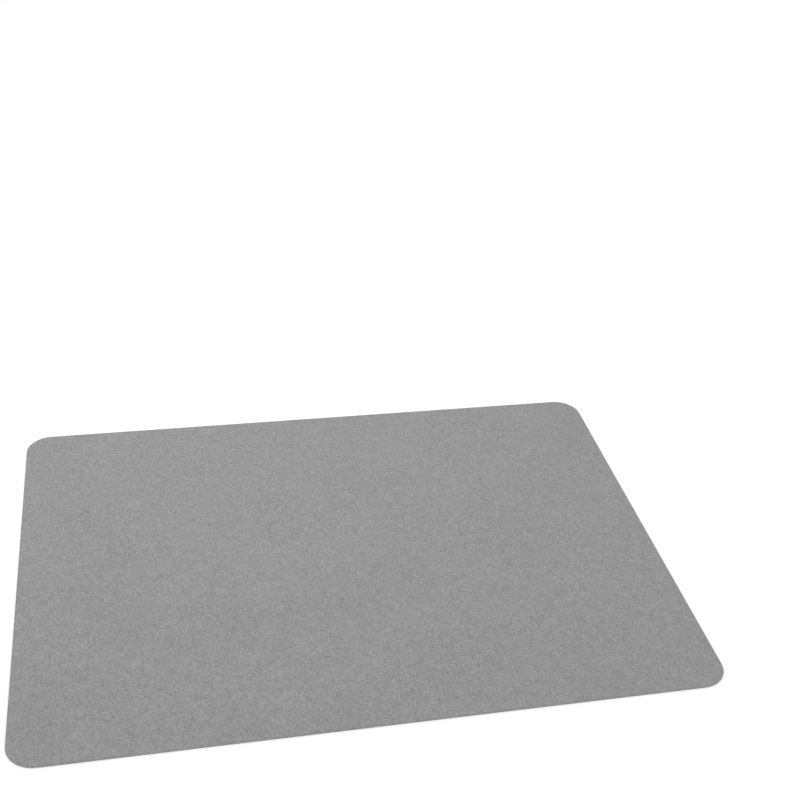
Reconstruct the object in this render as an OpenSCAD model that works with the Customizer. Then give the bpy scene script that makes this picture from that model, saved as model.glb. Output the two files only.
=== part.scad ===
// Low-pile chair mat with rounded corners: four sheets bonded together and die-cut in one stroke.
// The origin is the centre of the underside. +X runs along the long side, +Y along the short
// side, away from the user, and +Z up. Lengths are in millimetres.

/* [Outline] */
// Long side of the mat
mat_w = 1200; // [600:10:1800]
// Short side of the mat
mat_d = 900; // [400:10:1500]
// Radius of the four corners
corner_r = 50; // [5:1:150]

/* [Layers] */
// Thickness of the rubber backing, down to the tips of its grip studs
backing_t = 1.0; // [0.6:0.1:4]
// Thickness of the binder film between the backing and the fabric
binder_t = 0.2; // [0.1:0.05:0.6]
// Thickness of the scrim that the felt's fibres are needled through
scrim_t = 0.2; // [0.1:0.05:0.6]
// Thickness of the felt face, pile included
felt_t = 1.6; // [1:0.1:6]

/* [Hidden] */
// Facets of a full circle on screen
$fn = 96;
// Height of the underside of each sheet above the backing
binder_z = backing_t;
scrim_z = binder_z + binder_t;
felt_z = scrim_z + scrim_t;

// Outline that the die cuts: a rectangle with round corners
module mat_outline() {
    square([mat_w - 2 * corner_r, mat_d], center = true);
    square([mat_w, mat_d - 2 * corner_r], center = true);
    for (side_x = [-1, 1], side_y = [-1, 1])
        translate([side_x * (mat_w / 2 - corner_r), side_y * (mat_d / 2 - corner_r)])
            circle(r = corner_r);
}

// One sheet of the laminate, with its underside at height z
module sheet(z, thickness) {
    translate([0, 0, z])
        linear_extrude(height = thickness)
            mat_outline();
}

// Soft rubber sheet that grips the floor
module grip_backing() {
    color([0.54, 0.54, 0.54])
        sheet(0, backing_t);
}

// Latex film that bonds the fabric to the rubber
module binder_film() {
    color([0.55, 0.55, 0.53])
        sheet(binder_z, binder_t);
}

// Thin woven cloth inside the fabric that keeps it from stretching
module carrier_scrim() {
    color([0.56, 0.56, 0.56])
        sheet(scrim_z, scrim_t);
}

// Needle-punched felt that the casters roll on
module felt_face() {
    color([0.55, 0.55, 0.55])
        sheet(felt_z, felt_t);
}

grip_backing();
binder_film();
carrier_scrim();
felt_face();
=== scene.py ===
"""A low-pile chair mat: needle-felt face, woven scrim, latex film and a rubber backing with grip studs."""
import math

import bmesh
import bpy
import numpy as np
from mathutils import Matrix, Vector, geometry, noise


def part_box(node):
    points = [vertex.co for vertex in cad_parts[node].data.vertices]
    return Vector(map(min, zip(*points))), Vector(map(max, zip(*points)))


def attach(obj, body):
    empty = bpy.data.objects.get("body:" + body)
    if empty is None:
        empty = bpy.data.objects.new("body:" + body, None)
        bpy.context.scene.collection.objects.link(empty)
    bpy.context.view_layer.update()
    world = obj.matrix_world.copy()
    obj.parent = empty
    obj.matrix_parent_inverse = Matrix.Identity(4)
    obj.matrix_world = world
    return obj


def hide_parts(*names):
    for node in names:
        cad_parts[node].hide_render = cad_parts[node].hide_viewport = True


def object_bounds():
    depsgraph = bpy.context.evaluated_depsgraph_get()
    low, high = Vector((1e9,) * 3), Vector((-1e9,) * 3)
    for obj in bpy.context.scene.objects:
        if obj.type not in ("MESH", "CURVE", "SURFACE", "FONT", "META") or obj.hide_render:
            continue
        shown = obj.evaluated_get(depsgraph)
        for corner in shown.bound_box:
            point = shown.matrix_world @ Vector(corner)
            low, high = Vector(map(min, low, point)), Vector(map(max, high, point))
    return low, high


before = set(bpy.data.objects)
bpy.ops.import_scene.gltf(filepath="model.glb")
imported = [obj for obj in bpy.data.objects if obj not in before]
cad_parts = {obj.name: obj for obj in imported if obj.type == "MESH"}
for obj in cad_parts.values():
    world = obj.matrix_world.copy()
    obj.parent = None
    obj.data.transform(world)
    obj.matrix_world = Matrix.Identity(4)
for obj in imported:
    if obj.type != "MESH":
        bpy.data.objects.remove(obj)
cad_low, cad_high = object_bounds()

MM = 0.001

# ---------------------------------------------------------------- sizes, in metres
CELL = 3.6 * MM  # grid of the felt's top
FILL_CELL = 24 * MM  # widest triangles of the hidden flat faces
PILE_DIP = 0.12 * MM  # how far the pile's mean height lies under the top of the CAD sheet
PILE_LAYERS = (  # tufts, clumps and a broad unevenness: how many to the metre, slice of the noise, height
    (120, 0, 0.12 * MM),
    (38, 3, 0.07 * MM),
    (6, 7, 0.08 * MM),
)
SHOULDER = 0.7 * MM  # how far the die rounds the felt's top edge
SHOULDER_TURNS = (30, 60, 90)  # rings round the shoulder, in degrees
SIDE_SHARES = (0.35, 0.7, 1.0)  # rings down the cut side below it
RAGGED = 0.12 * MM  # how far the cut edge of the felt strays from its line
FRAY_FINE, FRAY_COARSE = 420, 90  # how many such strays to the metre
CRUSHED = 4 * MM  # width of the band that the die pressed down along the edge
CRUSH_DEPTH = 0.15 * MM  # and how far down at the edge
SCRIM_STEP = 1.0 * MM  # half a tape: the step round the scrim's edge
TAPE = 2 * SCRIM_STEP
TAPE_INSET = 0.22 * MM  # how far the tape ends lie inside the die's line, on average
TAPE_STAND = 0.05 * MM  # and how far they stand out and in by turns
TAPE_BULGE = 0.06 * MM
BINDER_STEP = 2 * MM
BINDER_INSET = 0.16 * MM
BINDER_BULGE = 0.10 * MM
BINDER_STRAY = 0.06 * MM  # how unevenly the latex has squeezed out
BACKING_STEP = 8 * MM
BACKING_INSET = 0.25 * MM  # the rubber is cut a little short of the felt
BACKING_BEVEL = 0.15 * MM
STUD_HEIGHT = 0.35 * MM
STUD_PITCH = 20 * MM
STUD_FOOT = 4.2 * MM  # a stud's radius where it leaves the sheet
STUD_TIP = 3.4 * MM  # and where it meets the floor
STUD_SIDES = 12
STUD_MARGIN = 9 * MM  # clear of the cut edge
MOULD_CHECK = 1.6 * MM  # squares of the texture between the studs

# ---------------------------------------------------------------- colours, dark and light
FELT_GREYS = (0.125, 0.125, 0.125), (0.47, 0.47, 0.47)
FELT_MIDDLE = 0.503  # where the felt's plain tone lies between its two greys
SCRIM_GREYS = (0.24, 0.24, 0.237), (0.38, 0.38, 0.375)
LATEX_GREYS = (0.22, 0.217, 0.205), (0.31, 0.305, 0.29)
RUBBER_GREYS = (0.17, 0.17, 0.174), (0.31, 0.31, 0.315)
FLOOR_WHITE = (0.98, 0.98, 0.98, 1)

# ---------------------------------------------------------------- the photograph's view
EYE = (-0.343, -1.866, 1.562)  # from the centre of the mat's underside
EYE_TURN = math.radians(13.95)  # to the right of +Y
EYE_PITCH = math.radians(32.65)  # below the horizon
EYE_ROLL = math.radians(3.77)
LENS_MM = 57.5  # on a 36 mm sensor
FRAME_SHIFT = -0.02  # the picture is cropped a little off its axis

# ---------------------------------------------------------------- the studio
FLOOR_RADIUS = 40
LAMP_PLACE = (-1.3, 0.9, 3.2)
LAMP_AIM = (-0.3, 0.3, 0)
LAMP_REACH = 1.22  # radius of its pool of light on the floor
LAMP_RADIUS = 0.8
LAMP_WATTS = 88
SURROUND = 1.03  # brightness of the white all round


def corner_radius(node):
    """The radius of a CAD sheet's corners: how far its long edge stops short of its end."""
    low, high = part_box(node)
    on_edge = [abs(v.co.x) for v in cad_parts[node].data.vertices if v.co.y > high.y - 0.01 * MM]
    return high.x - max(on_edge)


CORNER = corner_radius("felt_face")
HALF_X, HALF_Y = cad_high.x, cad_high.y


# ---------------------------------------------------------------- outline
def grid_lines(half, corner, cell):
    """Places of the grid lines along one axis, with whole cells in the corners and between them."""
    in_corner = round(corner / cell)
    between = round(2 * (half - corner) / cell)
    return np.concatenate([
        np.linspace(-half, corner - half, in_corner, endpoint=False),
        np.linspace(corner - half, half - corner, between, endpoint=False),
        np.linspace(half - corner, half, in_corner + 1),
    ])


def bend_corners(x, y, half_x, half_y, corner):
    """Bends the square at each corner of a rectangular grid into a quarter disc."""
    across, along = np.abs(x) - (half_x - corner), np.abs(y) - (half_y - corner)
    in_square = (across > 0) & (along > 0)
    pull = np.maximum(across, along) / np.maximum(np.hypot(across, along), 1e-9)
    bent_x = np.where(in_square, (half_x - corner + across * pull) * np.sign(x), x)
    bent_y = np.where(in_square, (half_y - corner + along * pull) * np.sign(y), y)
    return bent_x, bent_y


def inside_by(x, y):
    """How far a point lies inside the mat's outline."""
    across, along = abs(x) - (HALF_X - CORNER), abs(y) - (HALF_Y - CORNER)
    if across > 0 and along > 0:
        return CORNER - math.hypot(across, along)
    return CORNER - max(across, along)


def outward(x, y):
    """The outward direction at a point beside the mat's outline."""
    across, along = abs(x) - (HALF_X - CORNER), abs(y) - (HALF_Y - CORNER)
    if across > 1e-7 and along > 1e-7:
        out = Vector((math.copysign(across, x), math.copysign(along, y), 0))
    elif across > along:
        out = Vector((math.copysign(1, x), 0, 0))
    else:
        out = Vector((0, math.copysign(1, y), 0))
    return out.normalized()


def rim_points(step):
    """Points round the mat's outline, a step apart, each with its outward direction."""
    points = []
    arc = max(4, round(CORNER * math.pi / 2 / step))
    corners = [(1, 1), (-1, 1), (-1, -1), (1, -1)]
    centres = [Vector((x * (HALF_X - CORNER), y * (HALF_Y - CORNER))) for x, y in corners]
    for n, centre in enumerate(centres):
        for k in range(arc):
            turn = math.pi / 2 * (n + k / arc)
            out = Vector((math.cos(turn), math.sin(turn)))
            points.append((centre + CORNER * out, out))
        turn = math.pi / 2 * (n + 1)
        out = Vector((round(math.cos(turn)), round(math.sin(turn))))
        start, stop = centre + CORNER * out, centres[(n + 1) % 4] + CORNER * out
        count = max(4, round((stop - start).length / step))
        points += [(start.lerp(stop, k / count), out) for k in range(count)]
    return points


# ---------------------------------------------------------------- mesh helpers
def new_piece(name, mesh, replaced):
    """Puts a finished mesh in the scene as a piece of the mat, in place of a CAD node."""
    piece = bpy.data.objects.new(name, mesh)
    bpy.context.scene.collection.objects.link(piece)
    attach(piece, "root")
    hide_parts(replaced)
    return piece


def build_mesh(name, points, faces, smooth):
    """A mesh from points and faces. smooth says of each face whether it is shaded smooth."""
    mesh = bpy.data.meshes.new(name)
    mesh.from_pydata([tuple(p) for p in points], [], faces)
    mesh.polygons.foreach_set("use_smooth", smooth)
    mesh.update()
    checked = bmesh.new()
    checked.from_mesh(mesh)
    bmesh.ops.recalc_face_normals(checked, faces=checked.faces)
    checked.to_mesh(mesh)
    checked.free()
    return mesh


def band(lower, upper):
    """Faces between two closed rings of vertex numbers."""
    count = len(lower)
    return [(lower[k], lower[(k + 1) % count], upper[(k + 1) % count], upper[k]) for k in range(count)]


def inner_points(step):
    """Points inside the outline: rings that thin out inwards from small steps, then a wide grid."""
    points = []
    inset = 0.0
    while step < FILL_CELL / 2:
        step *= 2
        inset += step
        points += [p - out * inset for p, out in rim_points(step)]
    rise = FILL_CELL * math.sqrt(3) / 2
    rows, columns = int(HALF_Y / rise), int(HALF_X / FILL_CELL) + 1
    for row in range(-rows, rows + 1):
        for column in range(-columns, columns + 1):
            x, y = (column + row % 2 / 2) * FILL_CELL, row * rise
            if inside_by(x, y) > inset + FILL_CELL / 2:
                points.append(Vector((x, y)))
    return points


def triangles_inside(flat, loops):
    """Triangles over flat points, between closed loops of point numbers."""
    found = geometry.delaunay_2d_cdt(flat, [], loops, 1, 1e-7, True)
    triangles, came_from = found[2], found[3]
    return [tuple(came_from[n][0] for n in triangle) for triangle in triangles]


def cap(points, ring, outline, step):
    """Triangles that close a level ring, whose points lie close to outline's. Adds points inside it."""
    inner = inner_points(step)
    level = points[ring[0]].z
    numbers = [*ring, *range(len(points), len(points) + len(inner))]
    points += [Vector((p.x, p.y, level)) for p in inner]
    triangles = triangles_inside([*outline, *inner], [list(range(len(ring)))])
    return [tuple(numbers[n] for n in triangle) for triangle in triangles]


# ---------------------------------------------------------------- felt face
def pile_relief(x, y):
    """Height of the pile above its mean: matted tufts on a broad, faint unevenness."""
    layers = [noise.noise(Vector((x, y, z)) * per_metre) * height for per_metre, z, height in PILE_LAYERS]
    return sum(layers)


def cut_wobble(p):
    """How far the felt's cut edge strays from the die's line at a point. It strays inwards."""
    fine = noise.noise(p * FRAY_FINE)
    coarse = noise.noise(p * FRAY_COARSE + Vector((5, 0, 0)))
    return RAGGED * (0.6 * fine + 0.5 * coarse - 0.8)


def felt_top(top):
    """The grid of the felt's upper surface: its points, its faces and the ring of its outer points."""
    half_x, half_y, corner = HALF_X - SHOULDER, HALF_Y - SHOULDER, CORNER - SHOULDER
    grid_x, grid_y = np.meshgrid(grid_lines(half_x, corner, CELL), grid_lines(half_y, corner, CELL))
    flat_x, flat_y = bend_corners(grid_x, grid_y, half_x, half_y, corner)
    points = []
    for x, y in zip(flat_x.ravel(), flat_y.ravel()):
        crush = 1 - min(1.0, inside_by(x, y) / CRUSHED)
        points.append(Vector((x, y, top + pile_relief(x, y) - CRUSH_DEPTH * crush ** 2)))
    deep, wide = grid_x.shape
    number = np.arange(wide * deep).reshape(deep, wide)
    squares = [number[:-1, :-1], number[:-1, 1:], number[1:, 1:], number[1:, :-1]]
    faces = np.stack(squares, axis=-1).reshape(-1, 4).tolist()
    rim = [*number[0, :-1], *number[:-1, -1], *number[-1, :0:-1], *number[:0:-1, 0]]
    return points, faces, [int(n) for n in rim]


def felt_face():
    """The needle-felt: a relief on top, a shoulder crushed by the die, a ragged side and a flat base."""
    low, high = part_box("felt_face")
    top = high.z - PILE_DIP
    points, faces, rim = felt_top(top)
    turns = [math.radians(turn) for turn in SHOULDER_TURNS]
    profile = [(SHOULDER * math.sin(turn), SHOULDER * (1 - math.cos(turn))) for turn in turns]
    side = top - low.z - SHOULDER
    profile += [(SHOULDER, SHOULDER + side * share) for share in SIDE_SHARES]
    rings = [rim]
    for out_by, down_by in profile:
        wobbly = out_by / SHOULDER
        settled = down_by / (top - low.z)
        ring = []
        for n in rim:
            p = points[n]
            out = outward(p.x, p.y)
            at = Vector((p.x, p.y, 0)) + out * out_by
            at += out * cut_wobble(Vector((at.x, at.y, down_by * 3))) * wobbly
            at.z = p.z + (top - p.z) * settled - down_by
            ring.append(len(points))
            points.append(at)
        rings.append(ring)
    for upper, lower in zip(rings, rings[1:]):
        faces += band(lower, upper)
    smooth = [True] * len(faces)
    base = cap(points, rings[-1], [points[n].xy for n in rim], CELL)
    faces += base
    smooth += [False] * len(base)
    return new_piece("felt_pile", build_mesh("felt_pile", points, faces, smooth), "felt_face")


# ---------------------------------------------------------------- inner sheets
def thin_sheet(name, node, step, edge):
    """A thin closed sheet. edge(k, share) is how far rim point k stands out at a share of the height."""
    low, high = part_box(node)
    rim = rim_points(step)
    points, rings = [], []
    for share in (0.0, 0.5, 1.0):
        rings.append(list(range(len(points), len(points) + len(rim))))
        for k, (p, out) in enumerate(rim):
            at = p + out * edge(k, share)
            points.append(Vector((at.x, at.y, low.z + (high.z - low.z) * share)))
    faces = band(rings[0], rings[1]) + band(rings[1], rings[2])
    smooth = [True] * len(faces)
    outline = [p for p, out in rim]
    flat_faces = cap(points, rings[0], outline, step) + cap(points, rings[2], outline, step)
    faces += flat_faces
    smooth += [False] * len(flat_faces)
    return new_piece(name, build_mesh(name, points, faces, smooth), node)


def scrim_edge(k, share):
    """Cut tape ends, each two steps wide, that stand out and in by turns and bulge at mid height."""
    stand = TAPE_STAND if k // 2 % 2 else -TAPE_STAND
    return stand - TAPE_INSET + TAPE_BULGE * (1 - abs(2 * share - 1))


def binder_edge(k, share):
    """Latex that has squeezed out a little, and unevenly."""
    bulge = BINDER_BULGE * (1 - abs(2 * share - 1))
    return bulge - BINDER_INSET + BINDER_STRAY * noise.noise(Vector((k * 0.11, share, 0)))


# ---------------------------------------------------------------- rubber backing
def stud_places():
    """Staggered rows of studs, the same distance apart in every direction."""
    rise = STUD_PITCH * math.sqrt(3) / 2
    rows, columns = int((HALF_Y - STUD_MARGIN) / rise), int((HALF_X - STUD_MARGIN) / STUD_PITCH) + 1
    places = []
    for row in range(-rows, rows + 1):
        for column in range(-columns, columns + 1):
            x, y = (column + row % 2 / 2) * STUD_PITCH, row * rise
            if inside_by(x, y) > STUD_MARGIN:
                places.append((x, y))
    return places


def circle(x, y, radius):
    """Points round a stud."""
    turns = [2 * math.pi * k / STUD_SIDES for k in range(STUD_SIDES)]
    return [Vector((x + radius * math.cos(t), y + radius * math.sin(t))) for t in turns]


def grip_backing():
    """The rubber sheet with its grip studs, as one closed skin."""
    low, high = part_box("grip_backing")
    under = low.z + STUD_HEIGHT
    rim = [(p - out * BACKING_INSET, out) for p, out in rim_points(BACKING_STEP)]
    flat = [p - out * BACKING_BEVEL for p, out in rim]
    loops = [list(range(len(rim)))]
    places = stud_places()
    for x, y in places:
        loops.append(list(range(len(flat), len(flat) + STUD_SIDES)))
        flat += circle(x, y, STUD_FOOT)
    stud_of = [-1] * len(rim) + [n // STUD_SIDES for n in range(len(places) * STUD_SIDES)]
    points = [Vector((p.x, p.y, under)) for p in flat]
    faces = []
    for triangle in triangles_inside(flat, loops):
        owners = {stud_of[n] for n in triangle}
        if len(owners) > 1 or -1 in owners:
            faces.append(triangle)
    smooth = [False] * len(faces)
    for (x, y), foot in zip(places, loops[1:]):
        tip = list(range(len(points), len(points) + STUD_SIDES))
        points += [Vector((p.x, p.y, low.z)) for p in circle(x, y, STUD_TIP)]
        faces += [*band(foot, tip), tuple(tip)]
        smooth += [True] * STUD_SIDES + [False]
    rings = [loops[0]]
    for height in (under + BACKING_BEVEL, high.z):
        rings.append(list(range(len(points), len(points) + len(rim))))
        points += [Vector((p.x, p.y, height)) for p, out in rim]
    for lower, upper in zip(rings, rings[1:]):
        faces += band(lower, upper)
        smooth += [True] * len(rim)
    lid = cap(points, rings[-1], [p for p, out in rim], BACKING_STEP)
    faces += lid
    smooth += [False] * len(lid)
    mesh = build_mesh("studded_backing", points, faces, smooth)
    return new_piece("studded_backing", mesh, "grip_backing")


# ---------------------------------------------------------------- material helpers
def new_material(name):
    """A material with its node tree and its surface shader."""
    material = bpy.data.materials.new(name)
    material.use_nodes = True
    tree = material.node_tree
    return material, tree, tree.nodes["Principled BSDF"]


def add(tree, kind, inputs=None, **settings):
    """Adds a node. Each input is a value or another node's output."""
    made = tree.nodes.new(kind)
    for name, value in settings.items():
        setattr(made, name, value)
    for key, value in (inputs or {}).items():
        if isinstance(value, bpy.types.NodeSocket):
            tree.links.new(value, made.inputs[key])
        else:
            made.inputs[key].default_value = value
    return made


def maths(tree, operation, first, second=0.0, clamp=False):
    """The result of one operation on two values."""
    made = add(tree, "ShaderNodeMath", {0: first, 1: second}, operation=operation, use_clamp=clamp)
    return made.outputs[0]


def total(tree, *terms):
    """The sum of values, each with its weight."""
    result = 0.0
    for value, weight in terms:
        made = add(tree, "ShaderNodeMath", {0: value, 1: weight, 2: result}, operation="MULTIPLY_ADD")
        result = made.outputs[0]
    return result


def ramp(tree, value, low, high, to_low=0.0, to_high=1.0):
    """Maps low..high to to_low..to_high, held at its ends."""
    wanted = {"Value": value, "From Min": low, "From Max": high, "To Min": to_low, "To Max": to_high}
    return add(tree, "ShaderNodeMapRange", wanted).outputs["Result"]


def patch(tree, place, shift=(0, 0, 0), turn=0.0, size=(1, 1, 1)):
    """Coordinates in which a pattern one unit big measures size, turned about Z and shifted."""
    wanted = {"Vector": place, "Location": shift, "Rotation": (0, 0, turn), "Scale": size}
    return add(tree, "ShaderNodeMapping", wanted, vector_type="TEXTURE").outputs["Vector"]


def cloud(tree, place, detail=2.0, rough=0.5):
    """Smooth random values about 0, a unit from hill to hill."""
    wanted = {"Vector": place, "Scale": 1.0, "Detail": detail, "Roughness": rough}
    made = add(tree, "ShaderNodeTexNoise", wanted)
    return maths(tree, "SUBTRACT", made.outputs["Fac"], 0.5)


def paint(tree, shader, share, dark, light):
    """Colours the surface between two colours."""
    made = add(tree, "ShaderNodeMix", {"Factor": share}, data_type="RGBA")
    made.inputs["A"].default_value = (*dark, 1)
    made.inputs["B"].default_value = (*light, 1)
    tree.links.new(made.outputs["Result"], shader.inputs["Base Color"])


def bump(tree, shader, height, depth, strength):
    """Tilts the surface by a height, where 1 is depth metres."""
    made = add(tree, "ShaderNodeBump", {"Height": height, "Distance": depth, "Strength": strength})
    tree.links.new(made.outputs["Normal"], shader.inputs["Normal"])


# ---------------------------------------------------------------- materials
def edge_share(tree, split, reach):
    """1 on the mat's outline, falling to 0 at reach inside it, over separate X and Y."""
    past = []
    for axis, half in (("X", HALF_X), ("Y", HALF_Y)):
        away = maths(tree, "ABSOLUTE", split.outputs[axis])
        past.append(maths(tree, "SUBTRACT", away, half - CORNER))
    outer = [maths(tree, "MAXIMUM", value, 0.0) for value in past]
    squares = [maths(tree, "MULTIPLY", value, value) for value in outer]
    radius = maths(tree, "SQRT", maths(tree, "ADD", *squares))
    inner = maths(tree, "MINIMUM", maths(tree, "MAXIMUM", *past), 0.0)
    reached = maths(tree, "ADD", radius, inner)
    return ramp(tree, reached, CORNER - reach, CORNER)


def bent(tree, place, per_metre, reach):
    """Coordinates pushed about by up to reach, so that what is straight in them curls."""
    noisy = add(tree, "ShaderNodeTexNoise", {"Vector": place, "Scale": per_metre, "Detail": 1.0})
    pushed = {0: noisy.outputs["Color"], 1: (reach, reach, reach)}
    push = add(tree, "ShaderNodeVectorMath", pushed, operation="MULTIPLY").outputs[0]
    return add(tree, "ShaderNodeVectorMath", {0: place, 1: push}, operation="ADD").outputs[0]


def fibre_sets(tree, place, count, first, width, length):
    """Thin streaks that lie in count directions over each other, 1 on a fibre and 0 between them."""
    found = 0.0
    for n in range(count):
        turn = first + math.pi * n / count
        lie = patch(tree, place, (0.37 * n, 0.11 * n, 0), turn, (length, width, width * 2))
        streak = ramp(tree, cloud(tree, lie, 1.0), 0.05, 0.16)
        found = maths(tree, "MAXIMUM", found, streak)
    return found


def felt_material():
    """Heathered grey needle-felt: pale and dark fibres lie across each other over matted clumps."""
    material, tree, shader = new_material("felt")
    place = add(tree, "ShaderNodeTexCoord").outputs["Object"]
    grain = cloud(tree, patch(tree, place, size=(3.8 * MM, 5.6 * MM, 3.8 * MM)), 2.0, 0.6)
    tuft = cloud(tree, patch(tree, place, (1, 6, 0), 0.4, (1.2 * MM, 1.5 * MM, 1.2 * MM)), 2.0, 0.65)
    clump = cloud(tree, patch(tree, place, (3, 1, 0), 0.2, (13 * MM, 17 * MM, 13 * MM)), 1.0)
    drift = cloud(tree, patch(tree, place, (7, 2, 0), 0.0, (0.16, 0.16, 0.16)), 1.0)
    curled = bent(tree, place, 240, 1.8 * MM)
    pale = fibre_sets(tree, curled, 4, 0.25, 0.16 * MM, 3.2 * MM)
    dark = fibre_sets(tree, curled, 3, 0.55, 0.18 * MM, 2.6 * MM)
    split = add(tree, "ShaderNodeSeparateXYZ", {0: place})
    above = ramp(tree, split.outputs["Z"], cad_high.z - 2 * SHOULDER, cad_high.z - SHOULDER)
    pressed = maths(tree, "MULTIPLY", edge_share(tree, split, CRUSHED), above)
    matted = total(tree, (grain, 0.66), (tuft, 0.50), (clump, 0.20), (drift, 0.08))
    # painted highlight: where the mask above is 0, on the cut side and the base, the felt is painted paler
    # than on its top to offset the shade on the side; the darker band along the top of the edge is the
    # pile crushed by the die
    worn_and_side_lightened = total(tree, (matted, 1.0), (above, -0.14), (pressed, -0.04))
    tone = total(tree, (worn_and_side_lightened, 0.97), (pale, 0.24), (dark, -0.24))
    share = maths(tree, "ADD", tone, FELT_MIDDLE, clamp=True)
    paint(tree, shader, share, *FELT_GREYS)
    height = total(tree, (grain, 0.9), (tuft, 0.6), (pale, 0.16), (dark, -0.10))
    bump(tree, shader, height, 0.5 * MM, 0.7)
    tree.links.new(ramp(tree, tone, -0.2, 0.2, 0.98, 0.86), shader.inputs["Roughness"])
    shader.inputs["Specular IOR Level"].default_value = 0.2
    shader.inputs["Sheen Weight"].default_value = 0.15
    shader.inputs["Sheen Roughness"].default_value = 0.6
    return material


def checks(tree, split, pitch):
    """A soft chequered pattern from 0 to 1, in squares of a pitch, over separate X and Y."""
    waves = [maths(tree, "MULTIPLY", split.outputs[axis], math.pi / pitch) for axis in ("X", "Y")]
    crests = [maths(tree, "SINE", wave) for wave in waves]
    return ramp(tree, maths(tree, "MULTIPLY", *crests), -1.0, 1.0)


def scrim_material():
    """Slit-tape weave: flat polypropylene tapes over and under each other."""
    material, tree, shader = new_material("scrim")
    place = add(tree, "ShaderNodeTexCoord").outputs["Object"]
    weave = checks(tree, add(tree, "ShaderNodeSeparateXYZ", {0: place}), TAPE)
    streak = cloud(tree, patch(tree, place, (2, 0, 0), 0.0, (1.1 * MM, 11 * MM, 1.1 * MM)))
    tone = total(tree, (weave, 0.5), (streak, 0.8))
    paint(tree, shader, tone, *SCRIM_GREYS)
    bump(tree, shader, weave, 0.1 * MM, 0.5)
    tree.links.new(ramp(tree, streak, -0.2, 0.2, 0.5, 0.7), shader.inputs["Roughness"])
    return material


def binder_material():
    """Dried latex: an uneven, slightly yellow film."""
    material, tree, shader = new_material("binder")
    place = add(tree, "ShaderNodeTexCoord").outputs["Object"]
    flow = cloud(tree, patch(tree, place, size=(7 * MM, 7 * MM, 7 * MM)), 3.0, 0.6)
    tone = ramp(tree, flow, -0.2, 0.2)
    paint(tree, shader, tone, *LATEX_GREYS)
    bump(tree, shader, flow, 0.1 * MM, 0.4)
    tree.links.new(ramp(tree, flow, -0.2, 0.2, 0.45, 0.65), shader.inputs["Roughness"])
    return material


def rubber_material():
    """Soft grey rubber: a moulded check with talc caught in it, and studs rubbed clean at the tip."""
    material, tree, shader = new_material("backing")
    place = add(tree, "ShaderNodeTexCoord").outputs["Object"]
    split = add(tree, "ShaderNodeSeparateXYZ", {0: place})
    grain = cloud(tree, patch(tree, place, size=(0.7 * MM, 0.7 * MM, 0.7 * MM)), 2.0, 0.6)
    talc = cloud(tree, patch(tree, place, (4, 4, 0), 0.0, (0.055, 0.055, 0.055)), 4.0, 0.6)
    rubbed = ramp(tree, split.outputs["Z"], 0.0, STUD_HEIGHT, 1.0, 0.0)
    between = maths(tree, "SUBTRACT", 1.0, rubbed)
    check = maths(tree, "MULTIPLY", checks(tree, split, MOULD_CHECK), between)
    tone = total(tree, (grain, 0.9), (talc, 1.6), (check, -0.25), (rubbed, -0.55))
    share = maths(tree, "ADD", tone, 0.75, clamp=True)
    paint(tree, shader, share, *RUBBER_GREYS)
    bump(tree, shader, total(tree, (grain, 0.6), (check, 1.0)), 0.1 * MM, 0.6)
    tree.links.new(ramp(tree, tone, -0.6, 0.2, 0.42, 0.78), shader.inputs["Roughness"])
    return material


def floor_material():
    """Plain pale studio floor."""
    material, tree, shader = new_material("studio_floor")
    shader.inputs["Base Color"].default_value = FLOOR_WHITE
    shader.inputs["Roughness"].default_value = 1.0
    shader.inputs["Specular IOR Level"].default_value = 0.0
    return material


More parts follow.
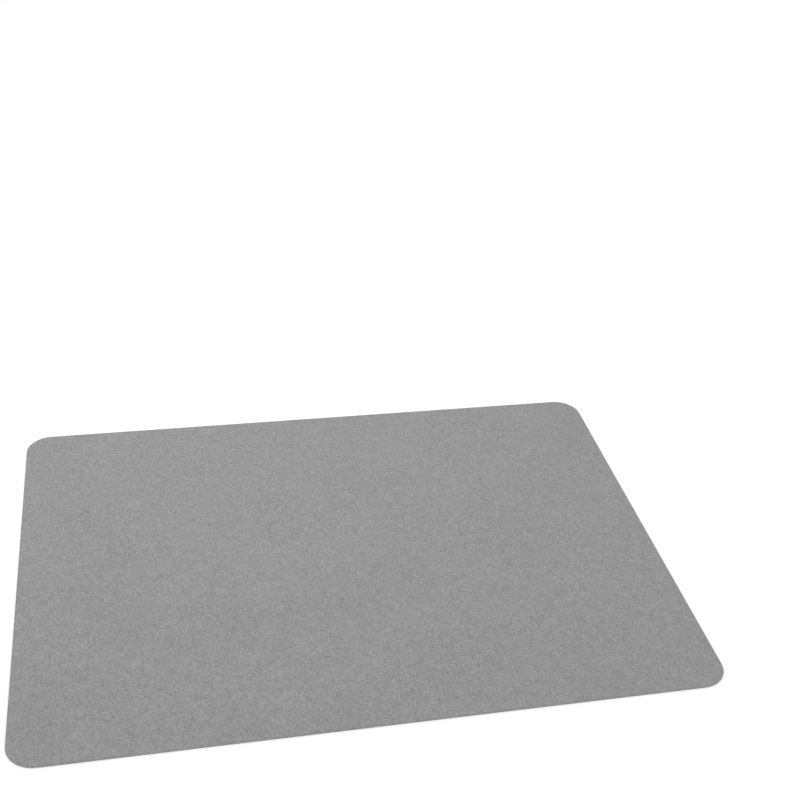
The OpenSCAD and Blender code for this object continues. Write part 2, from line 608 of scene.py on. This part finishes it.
# ---------------------------------------------------------------- studio
def studio_floor():
    """A wide, flat floor just under the mat."""
    disc = bmesh.new()
    bmesh.ops.create_circle(disc, cap_ends=True, segments=96, radius=FLOOR_RADIUS)
    mesh = bpy.data.meshes.new("studio_floor")
    disc.to_mesh(mesh)
    disc.free()
    floor = bpy.data.objects.new("studio_floor", mesh)
    bpy.context.scene.collection.objects.link(floor)
    floor.location.z = cad_low.z
    floor.data.materials.append(floor_material())


def lamp():
    """A soft lamp above, on the left. Its pool of light fades out towards the front right corner."""
    beam = Vector(LAMP_AIM) - Vector(LAMP_PLACE)
    data = bpy.data.lights.new("lamp", "SPOT")
    data.spot_size = 2 * math.atan(LAMP_REACH / beam.length)
    data.spot_blend = 1.0
    data.shadow_soft_size = LAMP_RADIUS
    data.energy = LAMP_WATTS
    light = bpy.data.objects.new("lamp", data)
    bpy.context.scene.collection.objects.link(light)
    light.location = LAMP_PLACE
    light.rotation_mode = "QUATERNION"
    light.rotation_quaternion = beam.to_track_quat("-Z", "Y")


def surround():
    """An even white all round."""
    world = bpy.data.worlds.new("surround")
    bpy.context.scene.world = world
    world.use_nodes = True
    world.node_tree.nodes["Background"].inputs["Color"].default_value = (1, 1, 1, 1)
    world.node_tree.nodes["Background"].inputs["Strength"].default_value = SURROUND
    bpy.context.scene.view_settings.view_transform = "Standard"


def camera():
    """The photograph's view: from the front left, above the mat, with a slight roll."""
    data = bpy.data.cameras.new("camera")
    data.sensor_width = 36
    data.lens = LENS_MM
    data.shift_x = FRAME_SHIFT
    eye = bpy.data.objects.new("camera", data)
    bpy.context.scene.collection.objects.link(eye)
    eye.location = EYE
    aim = Matrix.Rotation(-EYE_TURN, 3, "Z") @ Matrix.Rotation(math.pi / 2 - EYE_PITCH, 3, "X")
    eye.rotation_mode = "QUATERNION"
    eye.rotation_quaternion = (aim @ Matrix.Rotation(EYE_ROLL, 3, "Z")).to_quaternion()
    data.clip_start, data.clip_end = 0.01, 100
    bpy.context.scene.camera = eye


camera()
felt = felt_face()
scrim = thin_sheet("carrier_weave", "carrier_scrim", SCRIM_STEP, scrim_edge)
binder = thin_sheet("latex_film", "binder_film", BINDER_STEP, binder_edge)
backing = grip_backing()

felt.data.materials.append(felt_material())
scrim.data.materials.append(scrim_material())
binder.data.materials.append(binder_material())
backing.data.materials.append(rubber_material())

studio_floor()
lamp()
surround()
